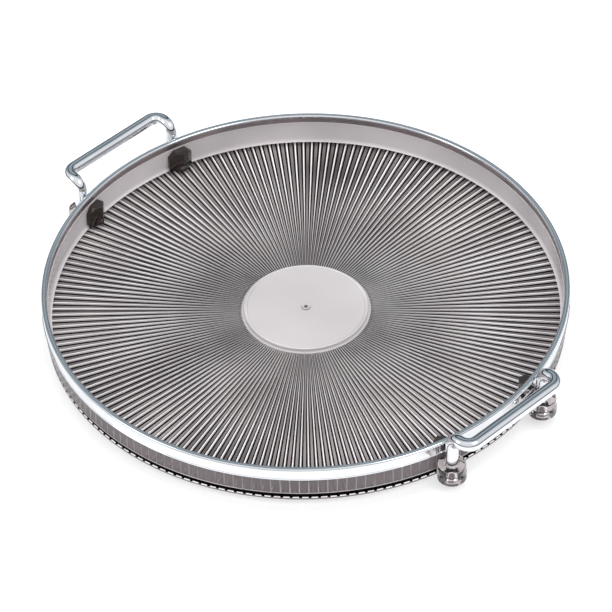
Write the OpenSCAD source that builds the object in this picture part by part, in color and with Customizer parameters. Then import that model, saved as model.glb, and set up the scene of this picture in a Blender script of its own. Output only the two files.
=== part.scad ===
// Rotating serving tray: a ribbed smoky tray with a bright rim band and two rod
// handles, turning on a ball race over a low base pan. Millimetres, +Z up. The
// origin is on the table plane under the pivot, and the handles lie along X.

/* [Tray] */
// Outer diameter of the moulded tray wall
tray_d = 396; // [300:1:480]
// Height from the table to the top of the rim band
rim_height = 38; // [36:0.5:60]
// Height of the tray floor's top face above the table
floor_height = 13; // [13:0.25:18]
// Thickness of the tray floor
floor_t = 2.2; // [2:0.1:3]
// Thickness of the tray wall
wall_t = 3; // [2.5:0.1:4]
// Radius of the fillet between floor and wall
floor_fillet = 3; // [1:0.25:6]
// Number of ribs under the tray floor
rib_count = 180; // [60:2:220]
// Depth of the ribs under the tray floor
rib_h = 1.6; // [0.8:0.1:1.8]
// Share of the pitch that a rib fills
rib_fill = 0.66; // [0.4:0.02:0.8]
// Outer diameter of the raised bead around the centre disc
bead_d = 94.5; // [70:0.5:120]
// Width of the raised bead
bead_w = 2.6; // [1.5:0.1:4]
// Height of the raised bead
bead_h = 0.7; // [0.3:0.1:1.5]
// Diameter of the moulding gate mark in the middle
gate_d = 7; // [3:0.5:10]

/* [Rim band] */
// Height of the band's outer face
band_h = 10.6; // [7:0.2:14]
// Height of the band's inner flange
band_inner_h = 6.5; // [4:0.25:7.5]
// Thickness of the band's sheet
band_t = 0.8; // [0.6:0.05:1]
// How far the band's outer face stands out from the tray wall
band_proud = 2; // [1.2:0.1:3]
// How far the band's inner flange stands out from the wall's inner face
band_lap = 0.5; // [0.2:0.1:1]
// Radius of the band's top edges
band_edge_r = 1.8; // [1:0.1:2]

/* [Handles] */
// Diameter of the handle rod
rod_d = 10; // [8:0.5:12]
// Distance between the two legs of a handle
leg_spacing = 96; // [76:1:128]
// Distance that the grip stands out from its legs
handle_reach = 16.5; // [13.5:0.5:30]
// Height of the grip's centre line above the rim
handle_rise = 8.6; // [7:0.2:40]
// Gap between a leg and the rim band
leg_gap = 0.8; // [0.5:0.1:3]
// Depth of the tapped hole in the end of a leg
leg_tap_depth = 10; // [6:1:16]

/* [Handle sockets] */
// Diameter of a socket
socket_d = 22; // [20:0.5:28]
// Height of a socket's underside above the table
socket_low = 5.7; // [4:0.1:6.5]
// Height of a socket
socket_h = 14.8; // [13:0.2:18]
// Depth to which a leg sits in its socket
leg_seat = 2.25; // [2:0.25:5]
// Radial clearance around a leg in its socket
leg_clear = 0.1; // [0.05:0.05:0.3]
// Thickness of the gasket under a leg
gasket_t = 0.8; // [0.5:0.1:1.2]
// Shank diameter of the screw that holds a leg
leg_screw_d = 4; // [3:0.5:5]
// Head diameter of the screw that holds a leg
leg_screw_head_d = 7.2; // [6:0.2:8.4]
// Head height of the screw that holds a leg
leg_screw_head_h = 2.2; // [1.6:0.1:2.6]
// Thickness of the washer above the leg screw's head
leg_washer_t = 0.8; // [0.5:0.1:1.2]

/* [Wall clamps] */
// Width of a clamp along the wall
clamp_w = 20; // [16:0.5:24]
// How far a clamp's ridge stands in from the wall
clamp_depth = 9.5; // [7:0.25:12]
// Gap between the top of a clamp and the band's inner flange
clamp_gap = 0.5; // [0.3:0.1:2]
// Size of the sloped shoulders at the top of a clamp
clamp_shoulder = 5; // [2:0.25:7]
// Shank diameter of the clamp screw
clamp_screw_d = 2.5; // [2:0.1:3]
// Head diameter of the clamp screw
clamp_screw_head_d = 4.8; // [4:0.2:6]
// Head height of the clamp screw
clamp_screw_head_h = 1.6; // [1:0.1:2]

/* [Ball race] */
// Pitch diameter of the balls
race_d = 200; // [150:2:260]
// Diameter of a ball
ball_d = 4; // [3.5:0.1:4.2]
// Number of balls
ball_count = 24; // [12:1:36]
// Thickness of a race ring
race_t = 1.2; // [1:0.1:1.4]
// Depth of the ball groove in a race ring
groove_h = 0.4; // [0.2:0.05:0.5]
// Width of a race ring outside the pitch circle
race_out = 6; // [4:0.25:8]
// Width of a race ring inside the pitch circle
race_in = 13; // [11:0.25:16]
// Clearance of a ball in its groove
ball_clear = 0.05; // [0.02:0.01:0.1]
// Radial clearance of a ball in its cage pocket
pocket_clear = 0.15; // [0.1:0.01:0.3]
// Width of the ball cage
cage_w = 9; // [7:0.25:10]
// Thickness of the ball cage
cage_t = 2; // [1.4:0.1:2.4]
// Number of rivets or screws in a race ring
race_fix_count = 6; // [4:1:12]
// Shank diameter of a race rivet or screw
race_fix_d = 3; // [2.4:0.1:3.4]
// Head diameter of a race rivet or screw
race_fix_head_d = 4.6; // [4:0.1:5.2]
// Head height of a race rivet or screw
race_fix_head_h = 0.9; // [0.6:0.05:1.1]

/* [Base pan] */
// Height of the pan's underside above the table
pan_low = 1.1; // [0.9:0.1:1.4]
// Thickness of the pan
pan_t = 1.8; // [1.6:0.1:2.2]
// Thickness of the pan's rolled edge flange
flange_t = 2.2; // [1.8:0.1:2.6]
// Height of the flange's top face above the table
flange_top = 7.2; // [6.4:0.1:7.6]
// How far the flange's edge stays inside the tray wall
flange_inset = 0.5; // [0.4:0.1:4]
// Width of the flange
flange_w = 13.5; // [8:0.5:20]
// Number of stiffening ribs in the pan
pan_rib_count = 12; // [6:1:24]
// Height of the stiffening ribs in the pan
pan_rib_h = 2.4; // [1:0.1:3]
// Thickness of the stiffening ribs in the pan
pan_rib_t = 1.4; // [1:0.1:2.5]
// Number of feet
foot_count = 6; // [3:1:12]
// Diameter of a foot
foot_d = 14; // [8:0.5:20]
// Depth of the pocket that holds a foot
foot_pocket = 0.7; // [0.4:0.1:1]
// Distance from the pan's upstand to the centre of a foot
foot_inset = 12; // [11:0.5:30]

/* [Pivot] */
// Diameter of the pivot insert's journal
journal_d = 10; // [8:0.5:12]
// Radial running clearance of the journal in the pan's hub
journal_clear = 0.05; // [0.02:0.01:0.1]
// Diameter of the insert's body in the tray boss
insert_d = 12; // [11:0.5:14.5]
// Height of the insert's body in the tray boss
insert_h = 4.6; // [3:0.1:4.8]
// Diameter of the boss under the tray floor
boss_d = 24; // [20:0.5:28]
// How far the boss stands down from the tray floor
boss_h = 3.8; // [3.4:0.1:4.4]
// Outer diameter of the pan's raised hub
hub_d = 36; // [32:0.5:48]
// Thickness of the hub's top
hub_t = 2.2; // [1.6:0.1:2.3]
// Gap between moving faces at the pivot
pivot_gap = 0.6; // [0.4:0.05:0.7]
// Thickness of the washer that keeps the tray on its base
washer_t = 1; // [0.8:0.05:1.1]
// Diameter of the washer
washer_d = 16; // [13.5:0.5:20]
// End play between the washer and the hub
end_play = 0.3; // [0.3:0.05:0.4]
// Shank diameter of the pivot screw
pivot_screw_d = 4; // [3:0.5:5]
// Head diameter of the pivot screw
pivot_head_d = 8; // [7:0.25:10]
// Head height of the pivot screw
pivot_head_h = 2.2; // [1.6:0.1:2.25]

/* [Hidden] */
$fn = 64;
cut = 1;                                     // overshoot of a cutting solid

smoke = [0.45, 0.40, 0.40, 0.55];
smoke_dark = [0.28, 0.22, 0.21, 0.8];
bright = "lightgray";
steel = "silver";
brass = "goldenrod";
rubber = [0.08, 0.08, 0.09];
nylon = "ivory";

// Tray wall, floor and rim
wall_r = tray_d / 2;
wall_in_r = wall_r - wall_t;
floor_low = floor_height - floor_t;
band_r = wall_r + band_proud;
band_in_r = wall_in_r + band_lap;
band_low = rim_height - band_h;
band_flange_low = rim_height - band_inner_h;
lap_gap = 0.1;                               // wall to band inside the fold
wall_lap_r = band_in_r + band_t + lap_gap;   // thinned inner face of the wall under the flange
wall_top = rim_height - band_t - 0.2;
band_edge_sides = 12;                        // the top edges are rounded in chords of 30 degrees
bead_r = bead_d / 2;
gate_h = 0.5;                                // gate mark above the floor
rib_in_r = bead_r + 2;
rib_out_r = wall_r - 0.2;

// Handles
rod_r = rod_d / 2;
leg_pitch_r = band_r + leg_gap + rod_r;
leg_y = leg_spacing / 2;
leg_x = sqrt(pow(leg_pitch_r, 2) - pow(leg_y, 2));
leg_angle = atan2(leg_y, leg_x);
grip_z = rim_height + handle_rise;
bend_r = handle_reach / 2;

// Sockets
socket_top = socket_low + socket_h;
leg_low = socket_top - leg_seat;
pocket_low = leg_low - gasket_t;
leg_screw_play = 0.2;
leg_washer_d = leg_screw_head_d + 1;
socket_bore_r = leg_screw_d / 2 + leg_screw_play;
head_recess = 0.5;                           // socket underside to screw head
leg_washer_low = socket_low + head_recess + leg_screw_head_h;
leg_washer_top = leg_washer_low + leg_washer_t;

// Clamps
clamp_top = band_flange_low - clamp_gap;
clamp_screw_lift = 0.6;                      // tray floor to the head of the clamp screw
clamp_screw_z = floor_height + clamp_screw_lift + clamp_screw_head_d / 2;
clamp_face_r = wall_in_r - clamp_depth + 3.4; // seat of the screw head inside the ridge
clamp_screw_play = 0.15;
clamp_screw_end = 0.8;                       // screw tip to the bore or pocket that it stops at
under_pocket = clamp_screw_z + clamp_screw_d / 2 + 0.1 < pocket_low;
clamp_screw_tip = leg_pitch_r - (under_pocket ? socket_bore_r : rod_r + leg_clear) - clamp_screw_end;

// Base pan, pivot and races, upwards from the table
pan_top = pan_low + pan_t;
flange_r = wall_r - flange_inset;
upstand_r = flange_r - flange_w;
foot_ring_r = upstand_r - foot_inset;
race_r = race_d / 2;
race_low_top = pan_top + race_t;
ball_r = ball_d / 2;
groove_r = ball_r + ball_clear;
ball_z = race_low_top - groove_h + groove_r;
race_up_low = ball_z + groove_r - groove_h;
race_up_top = race_up_low + race_t;
race_out_r = race_r + race_out;
race_in_r = race_r - race_in;
fix_r = race_in_r + race_fix_head_d / 2 + 0.7;
screw_hole_h = 3;                            // upper race screw into the tray's pad
pad_margin = 2;                              // pad width past the race ring
rivet_foot_h = 0.6;
insert_low = floor_low - boss_h;
hub_top = insert_low - pivot_gap;
journal_low = hub_top - hub_t - end_play;
insert_top = insert_low + insert_h;
washer_low = journal_low - washer_t;
insert_skin = 1;                             // insert metal over its blind tapped hole

function polar(r, a) = [r * cos(a), r * sin(a)];

// Places copies of the children at equal angles on a circle
module ring_of(count, r, turn = 0) {
    for (i = [0 : count - 1]) rotate(turn + i * 360 / count) translate([r, 0, 0]) children();
}

// Ring of rectangular section between two radii and two heights
module ring(r_in, r_out, z_low, z_high) {
    difference() {
        translate([0, 0, z_low]) cylinder(r = r_out, h = z_high - z_low, $fn = 180);
        translate([0, 0, z_low - cut]) cylinder(r = r_in, h = z_high - z_low + 2 * cut, $fn = 180);
    }
}

// Upright cylinder between two heights
module post(r, z_low, z_high) {
    translate([0, 0, z_low]) cylinder(r = r, h = z_high - z_low);
}

// Puts the children at one handle leg: side is 1 or -1 along X, way is 1 or -1 along Y
module at_leg(side, way) {
    mirror([side < 0 ? 1 : 0, 0, 0]) mirror([0, way < 0 ? 1 : 0, 0])
        translate([leg_x, leg_y, 0]) children();
}

// Turns the children so that their X axis runs out through one handle leg
module along_leg(side, way) {
    mirror([side < 0 ? 1 : 0, 0, 0]) mirror([0, way < 0 ? 1 : 0, 0]) rotate(leg_angle) children();
}

module at_every_leg() {
    for (side = [-1, 1], way = [-1, 1]) at_leg(side, way) children();
}

module along_every_leg() {
    for (side = [-1, 1], way = [-1, 1]) along_leg(side, way) children();
}

// Radial hole or shank through the tray wall at the height of the clamp screws
module radial_rod(r, from_r, to_r) {
    translate([from_r, 0, clamp_screw_z]) rotate([0, 90, 0]) cylinder(r = r, h = to_r - from_r);
}

module ball_groove() {
    translate([0, 0, ball_z]) rotate_extrude($fn = 180) translate([race_r, 0]) circle(groove_r, $fn = 48);
}

module base_pan() {
    journal_bore_r = journal_d / 2 + journal_clear;
    hub_r = hub_d / 2;
    color(smoke) difference() {
        union() {
            rotate_extrude($fn = 180) polygon([
                [journal_bore_r, hub_top - hub_t], [hub_r - pan_t, hub_top - hub_t],
                [hub_r - pan_t, pan_low], [upstand_r + pan_t, pan_low],
                [upstand_r + pan_t, flange_top - flange_t], [flange_r, flange_top - flange_t],
                [flange_r, flange_top], [upstand_r, flange_top], [upstand_r, pan_top],
                [hub_r, pan_top], [hub_r, hub_top], [journal_bore_r, hub_top]]);
            pan_ribs();
        }
        ring_of(foot_count, foot_ring_r) post(foot_d / 2, pan_low - cut, pan_low + foot_pocket);
        ring_of(race_fix_count, fix_r) post(race_fix_d / 2, pan_low - cut, pan_top + cut);
    }
}

// Radial stiffeners on the pan floor, outside the ball race
module pan_ribs() {
    rib_from = race_out_r + 5;
    sink = 0.3;                              // overlap with the floor and the upstand
    ring_of(pan_rib_count, rib_from, 180 / pan_rib_count)
        translate([0, -pan_rib_t / 2, pan_top - sink])
            cube([upstand_r - rib_from + sink, pan_rib_t, pan_rib_h + sink]);
}

module rubber_feet() {
    color(rubber) ring_of(foot_count, foot_ring_r) post(foot_d / 2, 0, pan_low + foot_pocket);
}

module lower_race() {
    color(steel) difference() {
        ring(race_in_r, race_out_r, pan_top, race_low_top);
        ball_groove();
        ring_of(race_fix_count, fix_r) post(race_fix_d / 2, pan_top - cut, race_low_top + cut);
    }
}

module lower_race_rivets() {
    color(steel) ring_of(race_fix_count, fix_r) {
        post(race_fix_d / 2, pan_low - rivet_foot_h, race_low_top + race_fix_head_h);
        post(race_fix_head_d / 2, race_low_top, race_low_top + race_fix_head_h);
        post(race_fix_head_d / 2, pan_low - rivet_foot_h, pan_low);
    }
}

module ball_cage() {
    color(nylon) difference() {
        ring(race_r - cage_w / 2, race_r + cage_w / 2, ball_z - cage_t / 2, ball_z + cage_t / 2);
        ring_of(ball_count, race_r) post(ball_r + pocket_clear, ball_z - cage_t, ball_z + cage_t);
    }
}

module bearing_balls() {
    color(steel) ring_of(ball_count, race_r) translate([0, 0, ball_z]) sphere(ball_r);
}

module upper_race() {
    color(steel) difference() {
        ring(race_in_r, race_out_r, race_up_low, race_up_top);
        ball_groove();
        ring_of(race_fix_count, fix_r, 180 / race_fix_count)
            post(race_fix_d / 2, race_up_low - cut, race_up_top + cut);
    }
}

module upper_race_screws() {
    color(steel) ring_of(race_fix_count, fix_r, 180 / race_fix_count) {
        post(race_fix_d / 2, race_up_low - race_fix_head_h, race_up_top + screw_hole_h);
        post(race_fix_head_d / 2, race_up_low - race_fix_head_h, race_up_low);
    }
}

// Floor, wall and centre disc of the tray, as one turned profile
module tray_body() {
    fillet_steps = 8;
    fillet = [for (i = [0 : fillet_steps])
        [wall_in_r - floor_fillet, floor_height + floor_fillet] + polar(floor_fillet, -90 + i * 90 / fillet_steps)];
    rotate_extrude($fn = 360) polygon(concat(
        [[0, floor_low], [wall_r, floor_low], [wall_r, wall_top], [wall_lap_r, wall_top],
            [wall_lap_r, band_flange_low - lap_gap], [wall_in_r, band_flange_low - lap_gap]],
        [for (i = [fillet_steps : -1 : 0]) fillet[i]],
        [[bead_r, floor_height], [bead_r - bead_w * 0.25, floor_height + bead_h],
            [bead_r - bead_w * 0.75, floor_height + bead_h], [bead_r - bead_w, floor_height],
            [0, floor_height]]));
}

// Tapering ribs on the underside of the floor, from the centre disc to the wall
module tray_ribs() {
    pitch = 360 / rib_count;
    half = pitch * rib_fill / 2;
    difference() {
        translate([0, 0, floor_low - rib_h]) linear_extrude(rib_h + 0.2)
            polygon([for (i = [0 : rib_count - 1], k = [0 : 3])
                polar(k == 0 || k == 3 ? rib_in_r : rib_out_r, i * pitch + (k < 2 ? -half : half))]);
        translate([0, 0, floor_low - rib_h - cut]) cylinder(r = rib_in_r - 1, h = rib_h + cut);
    }
}

module tray_shell() {
    color(smoke) difference() {
        union() {
            tray_body();
            tray_ribs();
            ring(race_in_r - pad_margin, race_out_r + pad_margin, race_up_top, floor_low + 0.2);
            post(boss_d / 2, insert_low, floor_low + 0.2);
            post(gate_d / 2, floor_height - 0.2, floor_height + gate_h);
        }
        post(insert_d / 2, insert_low - cut, insert_top);
        post(gate_d / 5, floor_height + gate_h / 2, floor_height + gate_h + cut);
        ring_of(race_fix_count, fix_r, 180 / race_fix_count)
            post(race_fix_d / 2, race_up_top - cut, race_up_top + screw_hole_h);
        along_every_leg() radial_rod(clamp_screw_d / 2 + clamp_screw_play, wall_in_r - 4, wall_r + cut);
    }
}

// Section of the band's outer shape with rounded top edges
module band_outline() {
    flat = band_edge_r;
    translate([band_in_r, band_low]) square([band_r - band_in_r, band_h - flat]);
    translate([band_in_r + flat, band_low]) square([band_r - band_in_r - 2 * flat, band_h]);
    translate([band_in_r + flat, rim_height - flat]) circle(flat, $fn = band_edge_sides);
    translate([band_r - flat, rim_height - flat]) circle(flat, $fn = band_edge_sides);
}

module rim_band() {
    hem_r = wall_r + 0.05;                   // inner edge of the hem that meets the wall
    color(bright) rotate_extrude($fn = 360) difference() {
        band_outline();
        translate([band_in_r + band_t, band_low + band_t])
            square([band_r - band_in_r - 2 * band_t, band_h - 2 * band_t]);
        translate([band_in_r - cut, band_low - cut])
            square([hem_r - band_in_r + cut, band_flange_low - band_low + cut]);
        translate([band_in_r + band_t, band_low - cut])
            square([hem_r - band_in_r - band_t, band_h - band_t]);
    }
}

module pivot_insert() {
    color(brass) difference() {
        union() {
            post(journal_d / 2, journal_low, insert_low + 0.2);
            post(insert_d / 2, insert_low, insert_top);
        }
        post(pivot_screw_d / 2, journal_low - cut, insert_top - insert_skin);
    }
}

module pivot_washer() {
    color(steel) difference() {
        post(washer_d / 2, washer_low, journal_low);
        post(pivot_screw_d / 2 + 0.15, washer_low - cut, journal_low + cut);
    }
}

module pivot_screw() {
    tip_gap = 0.6;
    slot_h = 1;
    color(steel) difference() {
        union() {
            post(pivot_screw_d / 2, washer_low - 0.2, insert_top - insert_skin - tip_gap);
            post(pivot_head_d / 2, washer_low - pivot_head_h, washer_low);
        }
        cross_slot(pivot_head_d, washer_low - pivot_head_h, slot_h);
    }
}

// Cross recess cut up into a screw head whose face is at z_face
module cross_slot(head_d, z_face, depth) {
    blade = head_d * 0.14;
    for (a = [0, 90]) rotate(a)
        translate([-head_d * 0.3, -blade / 2, z_face - cut]) cube([head_d * 0.6, blade, depth + cut]);
}

// Half of a handle: one leg, its bend out, its corner and half of the grip
module half_handle() {
    difference() {
        union() {
            translate([leg_x, leg_y, leg_low]) cylinder(r = rod_r, h = grip_z - bend_r - leg_low);
            translate([leg_x + bend_r, leg_y, grip_z - bend_r]) rotate([90, 0, 0])
                rotate([0, 0, 90]) rotate_extrude(angle = 90) translate([bend_r, 0]) circle(rod_r, $fn = 48);
            translate([leg_x + bend_r, leg_y - bend_r, grip_z])
                rotate_extrude(angle = 90) translate([bend_r, 0]) circle(rod_r, $fn = 48);
            translate([leg_x + 2 * bend_r, 0, grip_z]) rotate([-90, 0, 0])
                cylinder(r = rod_r, h = leg_y - bend_r);
        }
        translate([leg_x, leg_y, leg_low - cut]) cylinder(r = leg_screw_d / 2, h = leg_tap_depth + cut);
    }
}

module handle(side) {
    color(bright) mirror([side < 0 ? 1 : 0, 0, 0]) {
        half_handle();
        mirror([0, 1, 0]) half_handle();
    }
}

module socket(side, way) {
    color(smoke) difference() {
        at_leg(side, way) difference() {
            post(socket_d / 2, socket_low, socket_top);
            post(rod_r + leg_clear, pocket_low, socket_top + cut);
            post(socket_bore_r, socket_low - cut, pocket_low + cut);
            post(leg_washer_d / 2 + leg_screw_play, socket_low - cut, leg_washer_top);
        }
        translate([0, 0, -cut]) cylinder(r = wall_r, h = rim_height, $fn = 360);
        along_leg(side, way) radial_rod(clamp_screw_d / 2, wall_r - cut, clamp_screw_tip + 0.3);
    }
}

// Ridged block that backs the wall inside the tray, behind one socket
module clamp(side, way) {
    half = clamp_w / 2;
    face_half = half - clamp_shoulder;
    ridge_r = wall_in_r - clamp_depth;
    flank_r = wall_in_r - clamp_depth * 0.35;
    color(smoke_dark) intersection() {
        along_leg(side, way) difference() {
            intersection() {
                translate([0, 0, floor_height]) linear_extrude(clamp_top - floor_height)
                    polygon([[ridge_r, 0], [flank_r, half], [wall_in_r + 5, half],
                        [wall_in_r + 5, -half], [flank_r, -half]]);
                translate([ridge_r - cut, 0, 0]) rotate([90, 0, 90]) linear_extrude(clamp_depth + 6)
                    polygon([[-half, floor_height], [half, floor_height], [half, clamp_top - clamp_shoulder],
                        [face_half, clamp_top], [-face_half, clamp_top], [-half, clamp_top - clamp_shoulder]]);
            }
            radial_rod(clamp_screw_d / 2 + clamp_screw_play, clamp_face_r - cut, wall_r);
            radial_rod(clamp_screw_head_d / 2 + clamp_screw_play, ridge_r - cut, clamp_face_r);
        }
        rotate_extrude($fn = 360) polygon([[0, floor_height], [wall_in_r - floor_fillet - 0.2, floor_height],
            [wall_in_r, floor_height + floor_fillet + 0.2], [wall_in_r, clamp_top], [0, clamp_top]]);
    }
}

module clamp_screws() {
    color(steel) along_every_leg() {
        radial_rod(clamp_screw_d / 2, clamp_face_r - clamp_screw_head_h, clamp_screw_tip);
        radial_rod(clamp_screw_head_d / 2, clamp_face_r - clamp_screw_head_h, clamp_face_r);
    }
}

module leg_screws() {
    head_low = socket_low + head_recess;
    tip_gap = 1;
    slot_h = 1;
    color(steel) at_every_leg() difference() {
        union() {
            post(leg_screw_d / 2, head_low, leg_low + leg_tap_depth - tip_gap);
            post(leg_screw_head_d / 2, head_low, leg_washer_low);
        }
        cross_slot(leg_screw_head_d, head_low, slot_h);
    }
}

module leg_washers() {
    color(steel) at_every_leg() difference() {
        post(leg_washer_d / 2, leg_washer_low, leg_washer_top);
        post(leg_screw_d / 2, leg_washer_low - cut, leg_washer_top + cut);
    }
}

module leg_gaskets() {
    color(rubber) at_every_leg() difference() {
        post(rod_r, pocket_low, leg_low);
        post(leg_screw_d / 2, pocket_low - cut, leg_low + cut);
    }
}

base_pan();
rubber_feet();
lower_race();
lower_race_rivets();
ball_cage();
bearing_balls();
tray_shell();
rim_band();
upper_race();
upper_race_screws();
pivot_insert();
pivot_washer();
pivot_screw();
handle(1);  // handle_right
handle(-1);  // handle_left
socket(1, -1);  // socket_right_front
socket(1, 1);  // socket_right_back
socket(-1, -1);  // socket_left_front
socket(-1, 1);  // socket_left_back
clamp(1, -1);  // clamp_right_front
clamp(1, 1);  // clamp_right_back
clamp(-1, -1);  // clamp_left_front
clamp(-1, 1);  // clamp_left_back
clamp_screws();
leg_screws();
leg_washers();
leg_gaskets();
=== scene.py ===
"""Looks of a rotating serving tray: smoky ribbed plastic, bright rim band and two rod handles.

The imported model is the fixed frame. Everything here is in metres, +Z up, with the origin on the
table under the pivot and the handles along X. The hidden bearing parts keep their own meshes and
get a finish; the pieces that show are modelled again in finer detail.
"""
import sys

import logging
import math
from collections.abc import Callable, Sequence
from dataclasses import dataclass, field
from enum import Enum

import bmesh
import bpy
from mathutils import Matrix, Vector


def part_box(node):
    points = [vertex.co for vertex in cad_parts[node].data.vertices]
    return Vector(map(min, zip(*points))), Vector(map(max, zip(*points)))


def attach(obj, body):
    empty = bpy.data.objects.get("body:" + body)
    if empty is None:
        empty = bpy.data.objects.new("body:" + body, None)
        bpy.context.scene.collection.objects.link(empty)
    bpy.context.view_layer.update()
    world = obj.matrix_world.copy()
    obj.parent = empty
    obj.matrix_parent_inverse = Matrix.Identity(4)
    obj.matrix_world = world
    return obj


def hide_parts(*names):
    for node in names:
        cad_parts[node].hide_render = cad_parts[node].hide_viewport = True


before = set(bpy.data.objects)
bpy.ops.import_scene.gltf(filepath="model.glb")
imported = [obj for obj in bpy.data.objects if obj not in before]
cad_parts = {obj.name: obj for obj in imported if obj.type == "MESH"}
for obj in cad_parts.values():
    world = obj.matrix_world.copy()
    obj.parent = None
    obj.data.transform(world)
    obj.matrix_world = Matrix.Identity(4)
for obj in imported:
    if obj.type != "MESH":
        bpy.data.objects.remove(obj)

LOG = logging.getLogger("turntable")
MM = 0.001
HAIR = 0.01 * MM  # a length too small to show
SLIVER = 1e-4  # an angle in radians too small to show
FULL_TURN = 2 * math.pi
UP = (0.0, 0.0, 1.0)
WHITE = (1.0, 1.0, 1.0)
SIDES = ("right", "left")

# Sizes that several pieces or finishes share.
LEG_Y = 48.0 * MM  # from the XZ plane to a handle leg
ROD_R = 5.0 * MM  # radius of the handle rod
WALL_T = 3.0 * MM  # thickness of the tray's wall
FLOOR_T = 2.2 * MM  # thickness of the tray's floor
BOSS_H = 3.8 * MM  # height of the boss under the floor
CROWDED_R = 60.0 * MM  # where the ribs stand closest together
OPEN_R = 140.0 * MM  # where they stand well apart

Point2 = tuple[float, float]
Point3 = tuple[float, float, float]
Colour = tuple[float, float, float]


class Body(str, Enum):
    """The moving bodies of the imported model."""

    BASE = "base"
    CAGE = "cage"
    TRAY = "tray"


class Zone(Enum):
    """The faces of the tray moulding that look different."""

    SKIN = 0
    OUTER_WALL = 1
    INNER_WALL = 2
    DISC = 3
    BEAD = 4
    GROOVE = 5
    FLANK = 6
    CREST = 7
    PAINTED_WALL_HIGHLIGHT = 8
    PAINTED_FOOT_HIGHLIGHT = 9
    SHADE = 10


# ---------------------------------------------------------------- finishes


class NodeTree:
    """A node tree under construction."""

    def __init__(self, tree: bpy.types.NodeTree) -> None:
        """Empties the tree.

        Args:
            tree: The tree of a material or a world.
        """
        self.tree = tree
        self.tree.nodes.clear()

    def add(self, kind: str, operation: str = "", **values: float | Point3) -> bpy.types.Node:
        """Adds a node.

        Args:
            kind: The node's type, without its first word.
            operation: Its operation, where it has one.
            **values: Constants by input name, with underscores for spaces.

        Returns:
            The node.
        """
        node = self.tree.nodes.new(f"ShaderNode{kind}")
        if operation:
            node.operation = operation
        for name, value in values.items():
            node.inputs[name.replace("_", " ")].default_value = value
        return node

    def link(self, source: bpy.types.NodeSocket, node: bpy.types.Node, target: str | int) -> None:
        """Links a socket to a node's input."""
        self.tree.links.new(source, node.inputs[target])


class Recipe(NodeTree):
    """A material under construction, with one Principled shader."""

    def __init__(self, name: str) -> None:
        """Starts an empty material.

        Args:
            name: The material's name.
        """
        self.material = bpy.data.materials.new(name)
        self.material.use_nodes = True
        super().__init__(self.material.node_tree)
        output = self.add("OutputMaterial")
        self.shader = self.add("BsdfPrincipled")
        self.link(self.shader.outputs["BSDF"], output, "Surface")
        self.place = self.add("TexCoord").outputs["Object"]

    def set(self, **sockets: float | Colour) -> None:
        """Sets constants on the shader's own sockets.

        Args:
            **sockets: Values by socket name, with underscores for spaces.
        """
        for name, value in sockets.items():
            socket = self.shader.inputs[name.replace("_", " ")]
            socket.default_value = (*value, 1.0) if isinstance(value, tuple) else value

    def noise(self, scale: float, detail: float = 3.0,
              stretch: Point3 = (1.0, 1.0, 1.0)) -> bpy.types.NodeSocket:
        """Adds a noise texture on Object coordinates.

        Args:
            scale: Repeats per metre.
            detail: Octaves of finer noise.
            stretch: Factor on the pattern along each axis.

        Returns:
            The noise's value, from 0 to 1.
        """
        mapping = self.add("Mapping", Scale=stretch)
        self.link(self.place, mapping, "Vector")
        texture = self.add("TexNoise", Scale=scale, Detail=detail)
        self.link(mapping.outputs["Vector"], texture, "Vector")
        return texture.outputs["Fac"]

    def blend_colour(self, value: bpy.types.NodeSocket, first: Colour, second: Colour) -> None:
        """Drives the base colour between two colours.

        Args:
            value: Where in the blend a point lies.
            first: Colour at the low end.
            second: Colour at the high end.
        """
        ramp = self.add("ValToRGB")
        for element, at, colour in zip(ramp.color_ramp.elements, (0.32, 0.68), (first, second)):
            element.position = at
            element.color = (*colour, 1.0)
        self.link(value, ramp, "Fac")
        self.link(ramp.outputs["Color"], self.shader, "Base Color")

    def dim_inward(self, share: float) -> None:
        """Darkens the base colour towards the pivot, as painted shade.

        Args:
            share: What is left of the colour where it is darkest.
        """
        level = self.add("VectorMath", "MULTIPLY")
        level.inputs[1].default_value = (1.0, 1.0, 0.0)
        self.link(self.place, level, 0)
        reach = self.add("VectorMath", "LENGTH")
        self.link(level.outputs["Vector"], reach, 0)
        fade = self.add("MapRange", From_Min=CROWDED_R, From_Max=OPEN_R, To_Min=share)
        self.link(reach.outputs["Value"], fade, "Value")
        dim = self.add("VectorMath", "SCALE")
        self.link(self.shader.inputs["Base Color"].links[0].from_socket, dim, 0)
        self.link(fade.outputs["Result"], dim, "Scale")
        self.link(dim.outputs["Vector"], self.shader, "Base Color")

    def roughen(self, value: bpy.types.NodeSocket, low: float, high: float) -> None:
        """Drives the roughness over a range, by the middle of a noise's range.

        Args:
            value: A noise value.
            low: Smoothest roughness.
            high: Roughest roughness.
        """
        spread = self.add("MapRange", From_Min=0.3, From_Max=0.7, To_Min=low, To_Max=high)
        self.link(value, spread, "Value")
        self.link(spread.outputs["Result"], self.shader, "Roughness")

    def bump(self, value: bpy.types.NodeSocket, height: float, strength: float) -> None:
        """Raises the surface by a noise.

        Args:
            value: A noise value.
            height: Height of the relief in metres.
            strength: How much of the relief shows.
        """
        node = self.add("Bump", Distance=height, Strength=strength)
        self.link(value, node, "Height")
        self.link(node.outputs["Normal"], self.shader, "Normal")


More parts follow.
